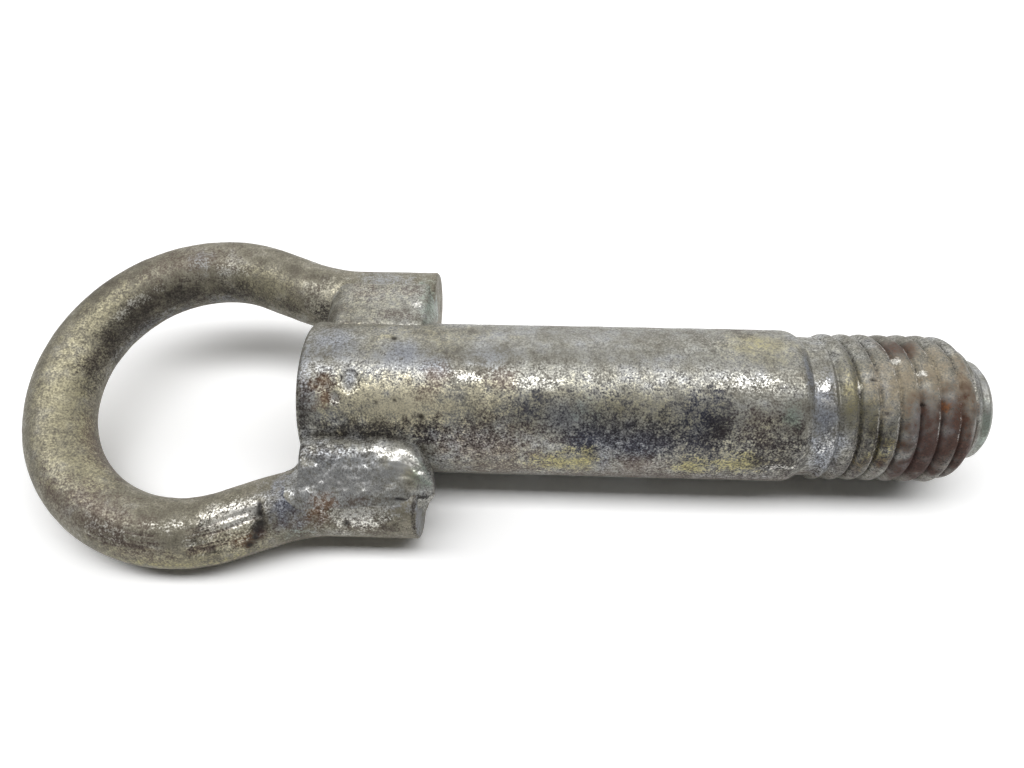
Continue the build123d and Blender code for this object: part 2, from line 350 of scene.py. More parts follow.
shankLook = {
    "columns": 224,
    "rows": {"endFace": 10, "endRound": 9, "scarredBar": 74, "plainBar": 74, "shoulder": 16,
             "thread": 215, "nose": 14, "noseEdge": 4, "noseFace": 8},
    "innerRings": (1.2, 0.8),  # smallest rings on the bar's end and on the nose's
    "barRadius": 12.5,
    "barEnd": -79.3,
    "barEndRound": 1.0,
    "fineEnd": -56.0,  # the scarred end of the bar has closer rows
    "shoulderStart": -2.59,
    "shoulderRound": 3.6,
    "neckRadius": 11.4,
    "neckEnd": 2.4,
    "crestStart": 3.0,
    "crestRadius": 12.0,
    "taperStart": 21.09,
    "taperRound": 5.2,
    "threadEnd": 25.8,
    "ledgeRadius": 9.0,
    "noseRadius": 8.05,
    "noseEnd": 28.7,
    "noseEdge": 0.7,
    "pitch": 3.0,
    "firstGroove": 0.66,
    "crestsFrom": (1.4, 3.4),  # where the crests begin to stand out, and stand out in full
    "notchFrom": (3.8, 7.5),  # the first turn's groove is filled with dirt
    "crestSag": 0.8,  # the worn crests are rounded
    "notchDepth": 0.34,
    "notchFlat": 0.04,
    "notchWidth": 0.36,
    "grooveFade": 1.5,  # the grooves run out over this length before the thread's end
    # painted shade darkens the middle of each groove
    "grooveShade": 0.75,
    "grooveShadeSpan": (0.05, 0.32),  # from a groove's middle
    "wearAndHighlightPlace": 0.5,  # from a groove's middle to the bright line beside it, partly worn metal and partly a painted highlight on the lit crest edge
    "wearAndHighlightSpan": (0.06, 0.26),
    "wearAndHighlightShine": 0.8,
    "wearAndHighlightSpread": (0.3, 1.5),  # how bright that line is, and how much this varies
    "gritSpread": (0.8, 0.4),  # how full the grit lies in the grooves, and how much this varies
    "gritFill": 0.8,
    "gritHeight": 0.16,
    "gritLumps": (0.3, 1.0),
    "gritHides": 0.7,  # how much of the painted shade in the grooves is under the grit
    "gritSmooth": 0.75,
    "cornerFill": 1.3,  # length of the dirt in the corner behind the nose
    "flatEnds": 0.75,  # the end faces are flat within this share of the nose's radius
    "waves": 0.05,
    "waveSize": 5.0,
    "fineWaves": 0.4,
    "grainSize": 0.9,
    "wander": 0.4,
    "wanderSize": 1.8,
    "dentWander": 0.5,
    # how dark the dents' walls are made
    "dentWallDark": 0.8,
    "smooth": 0.1,  # how much of the speckle is missing
    # place along the bar, angle round it, half length, half width, depth, flat part
    "dents": [
        (-64.9, 65.6, 0.55, 0.55, 0.4, 0.2),
        (-66.6, 118, 0.25, 0.25, 0.25, 0.2),
        (-63.8, 116, 0.25, 0.3, 0.25, 0.2),
        (-59.7, 127, 0.4, 0.4, 0.3, 0.2),
        (-70.9, 102.6, 1.6, 2.0, 0.26, 0.7),
        (-73.1, 115.6, 1.1, 1.2, 0.28, 0.3),
        (-74.8, 106, 1.8, 1.8, 0.14, 0.3),
        (8.7, 93, 0.9, 0.3, 0.3, 0.2),
        (10.5, 118, 0.5, 0.5, 0.3, 0.2),
        (15.8, 111, 0.5, 0.4, 0.3, 0.2),
    ],
    # place along the bar, angle round it, half length, half width, strength
    "marks": {
        "khaki": [
            (-62, 121, 15, 5.5, 1.0),
            (-70, 114, 7, 4.5, 0.9),
            (-50, 114, 9, 4, 0.7),
            (-62, 62, 18, 8, 0.5),
            (-32, 122, 22, 7, 0.6),
            (-45, 165, 14, 6, 0.4),
            (-12, 150, 12, 8, 0.4),
            (-66, 63, 2.5, 1.5, 0.9),
            (-7.5, 66, 8, 5, 0.8),
            (-8.4, 131, 6, 4, 0.5),
            (5.6, 100, 2, 5, 0.6),
        ],
        "olive": [
            (5.6, 108, 2.4, 7, 0.9),
            (8.6, 124, 3.5, 7, 0.9),
            (11.5, 140, 4, 6, 0.8),
            (9, 150, 3.5, 5, 0.7),
            (6, 84, 3, 4, 0.6),
        ],
        "amber": [
            (19.4, 113, 0.8, 1.5, 0.8),
        ],
        "blue": [
            (-74, 70, 6, 5, 0.8),
            (-63, 79, 5, 3.5, 1.0),
            (-58, 90, 4, 3, 0.7),
            (-50, 80, 6, 4, 0.5),
            (-70.9, 102.6, 1.6, 2.0, 1.0),
            (-78, 95, 1.5, 10, 0.6),
            (-37, 126, 6, 4, 0.7),
            (-30, 140, 9, 5, 0.6),
            (-31.7, 162, 1.8, 3.5, 0.9),
            (-0.8, 88, 1.0, 5, 0.9),
            (1.5, 122, 2.6, 9, 1.0),
            (2.5, 150, 3.0, 8, 0.9),
        ],
        "navy": [
            # dark blue-grey on the bar's lower side, partly painted shade there
            (-59, 140, 3, 3, 0.6),
            (-43, 120, 5, 4, 0.55),
            (-38.5, 128, 7, 6, 0.55),
            (-32, 132, 9, 6, 0.6),
            (-34, 142, 7, 4, 1.0),
            (-26, 144, 10, 5, 1.0),
            (-17, 134, 8, 8, 0.9),
            (-8, 140, 8, 5, 0.6),
        ],
        "yellow": [
            (-38, 164, 6.5, 3.2, 0.95),
            (-34, 162, 1.8, 4.2, 1.0),
            (-17.4, 167, 3.6, 3.2, 0.9),
            (-10.2, 163, 4.6, 3.2, 0.9),
            (-7.5, 64, 4, 2.5, 0.2),
            (9, 160, 3, 3, 0.4),
            (10.5, 150, 3, 3.5, 0.5),
        ],
        "brown": [
            (-78, 112, 2, 5, 0.7),
            # these two break up the highlight line with painted shade
            (-57.5, 99, 3, 3, 0.9),
            (-47.5, 100, 4, 2.5, 0.8),
            (-59, 110, 4, 2, 0.7),
            (-50, 148, 14, 6, 1.0),
            (-47.7, 172, 12, 5, 0.8),
            (-25.7, 168, 7, 4, 0.9),
            (-8, 130, 7, 5, 0.7),
            # painted shade along the bar's lower edge
            (-20, 185, 40, 4, 0.8),
        ],
        "sootAndShade": [
            (-78.2, 132, 2.2, 9, 0.9),
            # these two are painted shade in the crease between the bar and the near weld
            (-68, 138, 14, 2.8, 1.0),
            (-59, 139, 4, 3.4, 1.0),
            # the rest darken the lower side of the bar and thread, partly as painted shade
            (-50, 140, 9, 4, 0.6),
            (-26, 138, 14, 5, 0.7),
            (-15, 136, 4, 4, 0.9),
            (-6.4, 148, 6, 6, 0.8),
            (-5, 158, 8, 7, 1.0),
            (-12, 180, 16, 3, 0.7),
            (9, 148, 6, 8, 0.9),
            (6, 172, 8, 5, 0.8),
            (18, 155, 7, 12, 0.6),
        ],
        "grit": [
            (9.5, 96, 3, 5, 0.8),
            (10.6, 116, 2, 2.5, 0.8),
            (13, 94, 5, 7, 1.0),
            (13.3, 116, 1.8, 2.5, 0.8),
            (18.5, 84, 4.5, 8, 1.0),
            (22, 100, 3, 9, 1.0),
        ],
        "rust": [
            (-76, 120, 1.6, 2, 0.5),
            (-74.8, 105, 2.4, 2.4, 1.0),
            (-74.6, 115, 2.6, 1.8, 0.9),
            (22, 92, 1.4, 2.2, 0.6),
        ],
        "deepRust": [
            (8, 165, 5, 4, 0.4),
            (14, 61, 5, 4, 0.8),
            (16.7, 126, 5, 6, 1.0),
            (19.2, 113, 2.4, 2.2, 1.0),
            (18, 145, 7, 12, 1.0),
            (17, 162, 7, 10, 1.0),
            (21, 130, 5, 12, 1.0),
            (23, 150, 4, 10, 1.0),
        ],
        "bareAndHighlight": [
            (-73.1, 115.6, 1.1, 1.3, 1.0),
            # these three are painted highlights on the bar's highlight line
            (-53.1, 98, 2.5, 1.2, 0.6),
            (-41.6, 102, 4, 1.4, 0.5),
            (-10, 100, 5, 2, 0.5),
            (-4.3, 164, 3, 0.7, 0.7),
            (1.5, 98, 1.2, 1.2, 0.8),
            (2.5, 112, 1.8, 1.5, 0.5),
            (2.4, 140, 1.6, 4, 0.4),
            (6.7, 100.5, 0.4, 1.6, 1.0),
            (12.8, 76, 0.8, 0.8, 1.0),
            (16.2, 87, 0.8, 0.6, 1.0),
        ],
        "teal": [
            (-35, 120, 4, 3, 0.35),
            (-3.7, 120, 1.8, 2.6, 0.8),
            (27.6, 135, 2.0, 9, 0.8),
        ],
        "pit": [
            (-64.9, 65.6, 0.9, 0.8, 1.0),
            (-59.7, 127, 0.7, 0.7, 1.0),
            (-66.6, 118, 0.5, 0.5, 1.0),
            (-63.8, 116, 0.45, 0.6, 1.0),
            (8.7, 93, 1.0, 0.4, 0.9),
            (10.5, 118, 0.6, 0.5, 0.8),
            (15.8, 111, 0.6, 0.4, 0.9),
        ],
        "smooth": [
            (-7, 62, 12, 8, 0.75),
            (27.8, 110, 2.2, 30, 0.8),
            (9, 132, 7, 14, 0.6),
            (17, 128, 8, 22, 0.75),
            (-40, 60, 50, 9, 0.7),
            (-62, 121, 12, 4, 0.5),
            (-57.5, 99, 3, 3, 0.6),
            (-47.5, 100, 4, 2.5, 0.6),
        ],
        "cream": [
            (-62, 120, 14, 5.5, 1.0),
            (-70, 115, 6, 4, 0.8),
            (-51, 114, 8, 3.5, 0.6),
        ],
        "pale": [
            (-40, 96, 14, 4, 0.7),
            (-12, 70, 14, 8, 0.5),
            (-8, 122, 6, 4, 0.6),
        ],
    },
}


def arcFall(x, start, radius, top):
    # radius of a bar where it rounds off from this start
    return top - radius + np.sqrt(np.maximum(radius ** 2 - (x - start) ** 2, 0))


def shankRows(look):
    # place along the bar and radius there, from the bar's end to the nose's
    count = look["rows"]
    rim = look["barRadius"] - look["barEndRound"]
    endFace = np.linspace(look["innerRings"][0], rim, count["endFace"])
    rows = [(look["barEnd"], radius) for radius in endFace]
    for angle in np.radians(np.linspace(0, 90, count["endRound"]))[1:]:
        back = look["barEndRound"] * (1 - math.cos(angle))
        rows.append((look["barEnd"] + back, rim + look["barEndRound"] * math.sin(angle)))
    barStart = look["barEnd"] + look["barEndRound"]
    scarredBar = np.linspace(barStart, look["fineEnd"], count["scarredBar"])[1:]
    plainBar = np.linspace(look["fineEnd"], look["shoulderStart"], count["plainBar"])[1:]
    rows += [(x, look["barRadius"]) for x in np.append(scarredBar, plainBar)]
    for x in np.linspace(look["shoulderStart"], 0, count["shoulder"])[1:]:
        rows.append((x, arcFall(x, look["shoulderStart"], look["shoulderRound"], look["barRadius"])))
    rampPlaces = (look["neckEnd"], look["crestStart"])
    rampRadii = (look["neckRadius"], look["crestRadius"])
    for x in np.linspace(0, look["threadEnd"], count["thread"])[1:]:
        taper = look["crestRadius"]
        if x > look["taperStart"]:
            taper = arcFall(x, look["taperStart"], look["taperRound"], look["crestRadius"])
        rows.append((x, min(np.interp(x, rampPlaces, rampRadii), taper)))
    noseRim = look["noseEnd"] - look["noseEdge"]
    for x in np.linspace(look["threadEnd"], noseRim, count["nose"])[1:]:
        filled = fade(x - look["threadEnd"], 0, look["cornerFill"])
        rows.append((x, look["noseRadius"] + filled * (look["ledgeRadius"] - look["noseRadius"])))
    for step in np.linspace(0, 1, count["noseEdge"])[1:]:
        rows.append((noseRim + look["noseEdge"] * step, look["noseRadius"] - look["noseEdge"] * step))
    faceRim = look["noseRadius"] - look["noseEdge"]
    noseFace = np.linspace(faceRim, look["innerRings"][1], count["noseFace"])[1:]
    rows += [(look["noseEnd"], radius) for radius in noseFace]
    return np.array(rows)


def grooveOffset(x, around, look):
    # how far along the bar a point lies from the middle of the nearest groove
    half = look["pitch"] / 2
    offset = x - look["firstGroove"] - look["pitch"] * (around - 90) / 360
    return (offset + half) % look["pitch"] - half


def grooveDepth(x, offset, look):
    # depth of the part-filled groove below the crests
    fromGroove = np.abs(offset)
    sag = look["crestSag"] * (1 - 2 * fromGroove / look["pitch"]) ** 2
    notch = look["notchDepth"] * fade(fromGroove, look["notchFlat"], look["notchWidth"])
    sag = sag * (1 - fade(x, *look["crestsFrom"]))
    notch = notch * (1 - fade(x, *look["notchFrom"]))
    runOut = np.clip((look["threadEnd"] - x) / look["grooveFade"], 0, 1)
    return (sag + notch) * runOut


def wearThread(along, around, broad, fine, layers, look):
    # depth of the thread's grooves, with grit and painted shade in them, and beside them a bright line
    # that is partly worn metal and partly a painted highlight
    offset = grooveOffset(along, around, look)
    threaded = 1 - fade(along, *look["notchFrom"])
    threaded = threaded * fade(along, look["taperStart"], look["threadEnd"])
    caked = layers["grit"] * uneven(fine, *look["gritSpread"])
    heaped = look["gritHeight"] * caked * uneven(fine, *look["gritLumps"]) * threaded
    grooveShading = look["grooveShade"] * fade(np.abs(offset), *look["grooveShadeSpan"]) * threaded
    raiseLayer(layers, "sootAndShade", grooveShading * (1 - look["gritHides"] * caked))
    wearAndHighlight = fade(np.abs(offset + look["wearAndHighlightPlace"]), *look["wearAndHighlightSpan"]) * threaded * (1 - caked)
    raiseLayer(layers, "bareAndHighlight", look["wearAndHighlightShine"] * wearAndHighlight * uneven(broad, *look["wearAndHighlightSpread"]))
    return grooveDepth(along, offset, look) * (1 - look["gritFill"] * caked) - heaped


def makeShank(look):
    rows = shankRows(look)
    around, along = np.meshgrid(np.linspace(0, 360, look["columns"], endpoint=False), rows[:, 0])
    radius = np.repeat(rows[:, 1:], look["columns"], axis=1)
    turn = np.radians(around)

    def placed(distance):
        return rolled(np.stack([along, distance * np.cos(turn), distance * np.sin(turn)], -1))

    def reachTo(spot):
        return reachOf(along, around, look["barRadius"], spot)

    broad, fine, wander = surfaceNoise(placed(radius), look)
    layers = paintMarks(look["marks"], reachTo, wander)
    raiseLayer(layers, "smooth", look["smooth"])
    raiseLayer(layers, "smooth", look["gritSmooth"] * layers["grit"])
    depth = wearThread(along, around, broad, fine, layers, look)
    dents, wallDark = sinkDents(look["dents"], lambda dent: reachTo(dent) + look["dentWander"] * wander)
    depth += dents
    raiseLayer(layers, "sootAndShade", look["dentWallDark"] * wallDark)
    flat = look["flatEnds"]
    side = np.clip((radius / look["noseRadius"] - flat) / (1 - flat), 0, 1)
    depth += side * look["waves"] * (broad + look["fineWaves"] * fine)
    rings = placed(radius - depth)
    ends = [(look["barEnd"], 0, 0), (look["noseEnd"], 0, 0)]
    piece = closedTube("threadedShank", rings, ends, layers)
    piece.data.materials.append(barFinish)
    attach(piece, "root")
    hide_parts("shank")


makeShank(shankLook)
print("shank made")


# bent rod loop

loopLook = {
    "columns": 120,
    "rows": 600,
    "rodRadius": 5.5,
    "endEdge": 0.3,
    "endSteps": (0.5, 1.0),  # rings on that edge
    "endRings": 6,
    "innerRing": 0.8,  # smallest ring on a cut end
    "eyeX": -98.648,
    "eyeRadius": 24.25,
    "eyeStart": 69.07,  # where the eye's arc meets the straight lead, in degrees
    "lead": 6.5,
    "bendRadius": 30.0,
    "bendX": -73.2,
    "legY": 18.35,
    "legEnd": -60.0,
    "waves": 0.05,
    "waveSize": 5.0,
    "fineWaves": 0.4,
    "grainSize": 0.8,
    "wander": 0.35,
    "wanderSize": 1.5,
    "dentWander": 0.5,
    # how dark the dents' walls are made
    "dentWallDark": 0.5,
    "smooth": 0.6,
    # place along the rod, angle round it, half length, half width, depth, flat part
    "dents": [
        (125.4, 58, 5.4, 3.6, 0.36, 0.8),
        (125.5, 84, 5.0, 2.0, 0.18, 0.4),
        (130.6, 70, 0.7, 1.4, 0.35, 0.3),
        (129.6, 46, 0.8, 1.4, 0.35, 0.3),
        (128.0, 30, 0.8, 1.0, 0.3, 0.3),
        (144.4, 36, 0.9, 0.9, 0.35, 0.3),
        (141.0, 70, 2.2, 2.0, 0.18, 0.2),
        (60.0, 125, 0.4, 0.4, 0.2, 0.2),
    ],
    # scuffed grooves along the rod: start, end, lowest and highest angle, width, depth, brightness
    "scuffs": [
        (119.0, 130.6, 32, 84, 0.5, 0.2, 0.8),
        (104.5, 116.5, 42, 78, 0.5, 0.1, 0.2),
    ],
    "scuffStretch": 0.06,  # draws the unevenness out along the rod
    "scuffContrast": 2.4,
    "scuffSides": (0.42, 0.55),  # shares of a scuff's width where it fades out
    "scuffEnds": (0.8, 1.05),  # shares of its half length
    "scuffWander": (0.06, 0.12),  # of its sides and of its ends
    "scuffLevel": 0.4,
    "valleyLevel": 0.3,
    "valleySoot": 0.5,
    "ridgeShine": 0.6,
    # place along the rod, angle round it, half length, half width, strength
    "marks": {
        "pale": [
            (145.5, 54, 6, 4, 1.0),
            (143, 14, 6, 2, 0.7),
            (8, 90, 9, 7, 0.7),
            (18, 124, 5, 5, 0.8),
            (10, 118, 7, 3, 0.6),
        ],
        "khaki": [
            (14, 112, 5, 4, 0.6),
            (80, 120, 16, 6, 0.9),
            (93, 105, 10, 6, 0.7),
            (88, 150, 10, 3, 0.9),
            (98, 130, 8, 4, 0.8),
            (64, 112, 12, 4, 0.7),
            (118, 22, 16, 3, 0.8),
            (30, 125, 9, 3.5, 0.6),
        ],
        "blue": [
            (136, 85, 6, 7, 1.0),
            (143, 105, 8, 5, 0.9),
            (150, 100, 8, 5, 0.8),
            (43, 100, 3.5, 2.4, 0.6),
            (155.2, 60, 0.2, 20, 0.8),
            (9, 80, 7, 4, 0.5),
            # these two are painted rim light along the inner edge of the eye
            (60, 192, 16, 2.2, 0.6),
            (40, 186, 8, 2, 0.6),
        ],
        "speckled": [
            (142, 80, 12, 9, 1.0),
            (126, 66, 8, 6, 0.7),
        ],
        "navy": [
            (134.5, 66, 3.5, 5, 0.6),
            (137, 92, 4, 3, 0.4),
        ],
        "cream": [
            (145.5, 54, 6, 3.8, 0.4),
            (140, 60, 4, 4, 0.4),
            (17.5, 122, 4.5, 4.5, 0.6),
            (126, 64, 5.0, 4.5, 1.0),
            (139, 118, 4, 2, 0.3),
        ],
        "yellow": [
            (116, 14, 9, 1.4, 0.5),
            (123, 6, 8, 1.4, 0.4),
        ],
        "brown": [
            (106, 86, 10, 5, 0.8),
            (100, 66, 9, 4, 0.7),
            (45, 95, 14, 5, 0.6),
            # darkens the inner side of the eye, partly as painted shade
            (92, 168, 14, 4, 0.8),
            (113, 40, 7, 2.6, 0.6),
            (22, 122, 6, 5, 0.3),
            (136, 40, 6, 3, 0.5),
            (146, 30, 7, 3, 0.5),
            (72, 150, 6, 3, 0.5),
        ],
        "sootAndShade": [
            # these six are painted shade along the inner side of the eye and of the far bend
            (74, 158, 7, 3.4, 0.8),
            (62, 163, 14, 4.2, 1.0),
            (49, 163, 9, 3.8, 0.95),
            (36, 158, 8, 3, 0.85),
            (18.6, 152, 2.2, 3.0, 0.9),
            (25, 158, 5, 3, 0.4),
            (130.7, 74, 1.5, 2.8, 1.0),
            (129.8, 48, 1.7, 2.6, 1.0),
            (128.2, 30, 1.8, 1.8, 1.0),
            (111, 60, 7, 2.6, 0.35),
            (154.8, 60, 0.4, 8, 1.0),
            (0.4, 122, 0.4, 3.6, 0.9),
            (150, 36, 4, 2.5, 0.4),
        ],
        "teal": [
            (1.8, 110, 2.2, 4.5, 0.9),
            (135, 20, 5, 2, 0.4),
        ],
        "rust": [
            (127, 34, 3.2, 1.6, 0.8),
            (139.8, 68, 2.8, 4.0, 0.9),
            (140.5, 48, 2.2, 2, 0.7),
            (147, 76, 2, 1.4, 0.5),
        ],
        "deepRust": [
            (129.5, 40, 1.4, 1.8, 0.8),
            (140, 46, 2.2, 1.6, 0.6),
        ],
        "bareAndHighlight": [
            (127.0, 82, 5.4, 3.0, 1.0),
            (146.0, 54, 5.5, 3.4, 0.7),
            # painted highlight streak along the rod's top
            (118, 88, 5, 1.6, 0.25),
            (108, 64, 5, 2, 0.3),
            (58, 132, 8, 1.2, 0.4),
            (38, 118, 5, 1.2, 0.4),
            (4.4, 120, 0.9, 0.7, 0.9),
            (15.6, 106, 1.4, 0.6, 0.8),
            (17.0, 126, 0.6, 0.9, 0.8),
        ],
        "pit": [
            (144.4, 36, 0.9, 0.9, 1.0),
            (131.0, 86, 0.6, 0.9, 1.0),
            (130.7, 72, 0.9, 1.3, 1.0),
            (130.3, 58, 1.2, 1.1, 1.0),
            (129.5, 46, 1.1, 1.2, 1.0),
            (128.7, 35, 1.3, 0.9, 1.0),
            (127.5, 25, 1.2, 0.8, 1.0),
            (60.0, 125, 0.4, 0.4, 0.8),
            (39.0, 128, 0.3, 0.3, 0.7),
        ],
    },
}


def loopLine(look):
    # function for place and heading along the rod's middle line, in the loop's own plane, and its length
    eyeStart = math.radians(look["eyeStart"])
    bend = math.pi / 2 - eyeStart
    bendY = look["legY"] + look["bendRadius"]
    leg = look["legEnd"] - look["bendX"]
    lengths = [leg, look["bendRadius"] * bend, look["lead"], look["eyeRadius"] * (math.pi - eyeStart)]
    corners = np.cumsum([0] + lengths)
    half = corners[-1]

    def far(s):
        # the far half: leg, bend, lead and half the eye
        run = min(np.searchsorted(corners, s, side="right") - 1, 3)
        past = s - corners[run]
        if run == 0:
            return look["legEnd"] - past, look["legY"], math.pi
        if run == 1:
            turn = past / look["bendRadius"]
            x = look["bendX"] - look["bendRadius"] * math.sin(turn)
            return x, bendY - look["bendRadius"] * math.cos(turn), math.pi - turn
        if run == 2:
            left = look["lead"] - past
            x = look["eyeX"] + look["eyeRadius"] * math.cos(eyeStart) + left * math.sin(eyeStart)
            y = look["eyeRadius"] * math.sin(eyeStart) - left * math.cos(eyeStart)
            return x, y, eyeStart + math.pi / 2
        angle = eyeStart + past / look["eyeRadius"]
        x = look["eyeX"] + look["eyeRadius"] * math.cos(angle)
        return x, look["eyeRadius"] * math.sin(angle), angle + math.pi / 2

    def at(s):
        if s <= half:
            return far(max(s, 0))
        x, y, heading = far(max(2 * half - s, 0))
        return x, -y, math.pi * 3 - heading

    return at, 2 * half


def scuffLines(along, around, fine, radius, look):
    # depth of the scuffed grooves, how bare their ridges are and how dirty their valleys
    depth = np.zeros_like(along)
    ridges = np.zeros_like(along)
    valleys = np.zeros_like(along)
    sideWander, endWander = look["scuffWander"]
    streaks = np.stack([look["scuffStretch"] * along, np.radians(around) * radius, 0 * along], -1)
    for start, end, low, high, width, deepest, bright in look["scuffs"]:
        across = (around - low) / (high - low)
        inside = fade(np.abs(across - 0.5) + sideWander * fine, *look["scuffSides"])
        middle, half = (start + end) / 2, (end - start) / 2
        inside = inside * fade(np.abs(along - middle) / half + endWander * fine, *look["scuffEnds"])
        wave = np.clip(look["scuffContrast"] * lumps(streaks, width), -1, 1)
        depth = np.maximum(depth, deepest * inside * np.maximum(look["scuffLevel"] + wave, 0))
        ridges = np.maximum(ridges, bright * inside * np.clip(-wave, 0, 1))
        valleys = np.maximum(valleys, inside * uneven(wave, look["valleyLevel"], 1))
    return depth, ridges, valleys


def loopStations(length, look):
    # place along the rod and radius there, from one cut end to the other
    edge = look["endEdge"]
    cut = look["rodRadius"] - edge
    cutEnd = np.linspace(look["innerRing"], cut, look["endRings"])
    stations = [(0.0, radius) for radius in cutEnd]
    stations += [(edge * step, cut + edge * step) for step in look["endSteps"]]
    side = np.linspace(edge, length - edge, look["rows"])[1:]
    stations += [(s, look["rodRadius"]) for s in side]
    for step in look["endSteps"]:
        stations.append((length - edge * (1 - step), look["rodRadius"] - edge * step))
    stations += [(length, radius) for radius in cutEnd[-2::-1]]
    return np.array(stations)


def makeLoop(look):
    at, length = loopLine(look)
    stations = loopStations(length, look)
    line = np.array([at(s) for s in stations[:, 0]])
    around, along = np.meshgrid(np.linspace(0, 360, look["columns"], endpoint=False), stations[:, 0])
    radius = np.repeat(stations[:, 1:], look["columns"], axis=1)
    turn = np.radians(around)
    lineX, lineY, heading = line[:, :1], line[:, 1:2], line[:, 2:]

    def placed(distance):
        out = distance * np.cos(turn)
        x = lineX + out * np.sin(heading)
        y = lineY - out * np.cos(heading)
        return rolled(np.stack([x, y, distance * np.sin(turn)], -1))

    def reachTo(spot):
        return reachOf(along, around, look["rodRadius"], spot)

    broad, fine, wander = surfaceNoise(placed(radius), look)
    layers = paintMarks(look["marks"], reachTo, wander)
    layers["smooth"] = look["smooth"] * (1 - layers.pop("speckled"))
    depth, wallDark = sinkDents(look["dents"], lambda dent: reachTo(dent) + look["dentWander"] * wander)
    raiseLayer(layers, "sootAndShade", look["dentWallDark"] * wallDark)
    scuff, ridges, valleys = scuffLines(along, around, fine, radius, look)
    depth += scuff
    side = radius > look["rodRadius"] - look["endEdge"]  # the cut ends stay flat
    depth += look["waves"] * (broad + look["fineWaves"] * fine) * side
    raiseLayer(layers, "sootAndShade", look["valleySoot"] * valleys ** 2)
    raiseLayer(layers, "brown", valleys)
    raiseLayer(layers, "bareAndHighlight", look["ridgeShine"] * ridges)
    rings = placed(radius - depth)
    ends = rolled(np.array([(x, y, 0.0) for x, y, _ in line[[0, -1]]]))
    piece = closedTube("bentRodLoop", rings, ends, layers)
    piece.data.materials.append(rodFinish)
    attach(piece, "root")
    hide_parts("eye_loop")


makeLoop(loopLook)
print("loop made")


# weld beads

weldLook = {
    "barRadius": shankLook["barRadius"],
    "rodRadius": loopLook["rodRadius"],
    "legY": loopLook["legY"],
    "legEnd": loopLook["legEnd"],
    "bendX": loopLook["bendX"],
    "bendRadius": loopLook["bendRadius"],
    "rows": 110,
    "endSteps": 30,
    "crown": 64,  # points across a bead's face
    "crownPower": 4,  # how full the face is
    "sunk": 0.35,  # how far a bead's edge lies inside the bar
    "sunkPower": 8,
    "root": (0.3, 1.4),  # a bead's inmost point, from the middle between bar and rod
    "hollowRoot": (0.8, 0.6),  # how far that point moves where a start is hollow
    "hollowRise": 0.88,  # how much of a hollow start has risen where its edge begins
    "startFocus": (1.2, 0.8),  # a bead grows from this point, measured from its root
    "innerRod": 0.4,  # hidden points, as shares of the way to the bead's edges
    "innerBar": 0.9,
    "leastReach": 0.2,  # from the root to the face
    "swayLength": 2.5,
    "swayAngles": (2.0, 6.0),  # how far the edges on bar and rod wander, in degrees
    "swaySeeds": (3.1, 7.7),
    "lumpSize": 2.4,
    "skin": 0.1,  # the edge on the rod lies this far inside it
    "tuckFrom": 0.86,  # from here across, the edge dives into the rod
    "tuck": 1.5,
    "legFade": 1.2,  # the rod's surface falls away over this length before the leg's end
    "legFall": 5.0,
    "filletSpan": (-70, -62),  # places along the bar
    "wander": 0.4,
    "wanderSize": 1.4,
}

# side is 1 on the far leg and -1 on the near one, and the angles are those of a bead's edges;
# the edge on the rod lies inside it, at this share of its radius
farLeg = {"side": 1, "barAngle": 44, "rodAngle": 105, "rodShare": 0.9}
nearLeg = {"side": -1, "barAngle": 37, "rodAngle": 130, "rodShare": 0.7}

# a bead with no hollow start, which shrinks at its end to a point measured from its root
plainBead = {"startEdge": 0, "endFocus": (1.2, 0.8), "marks": {}}

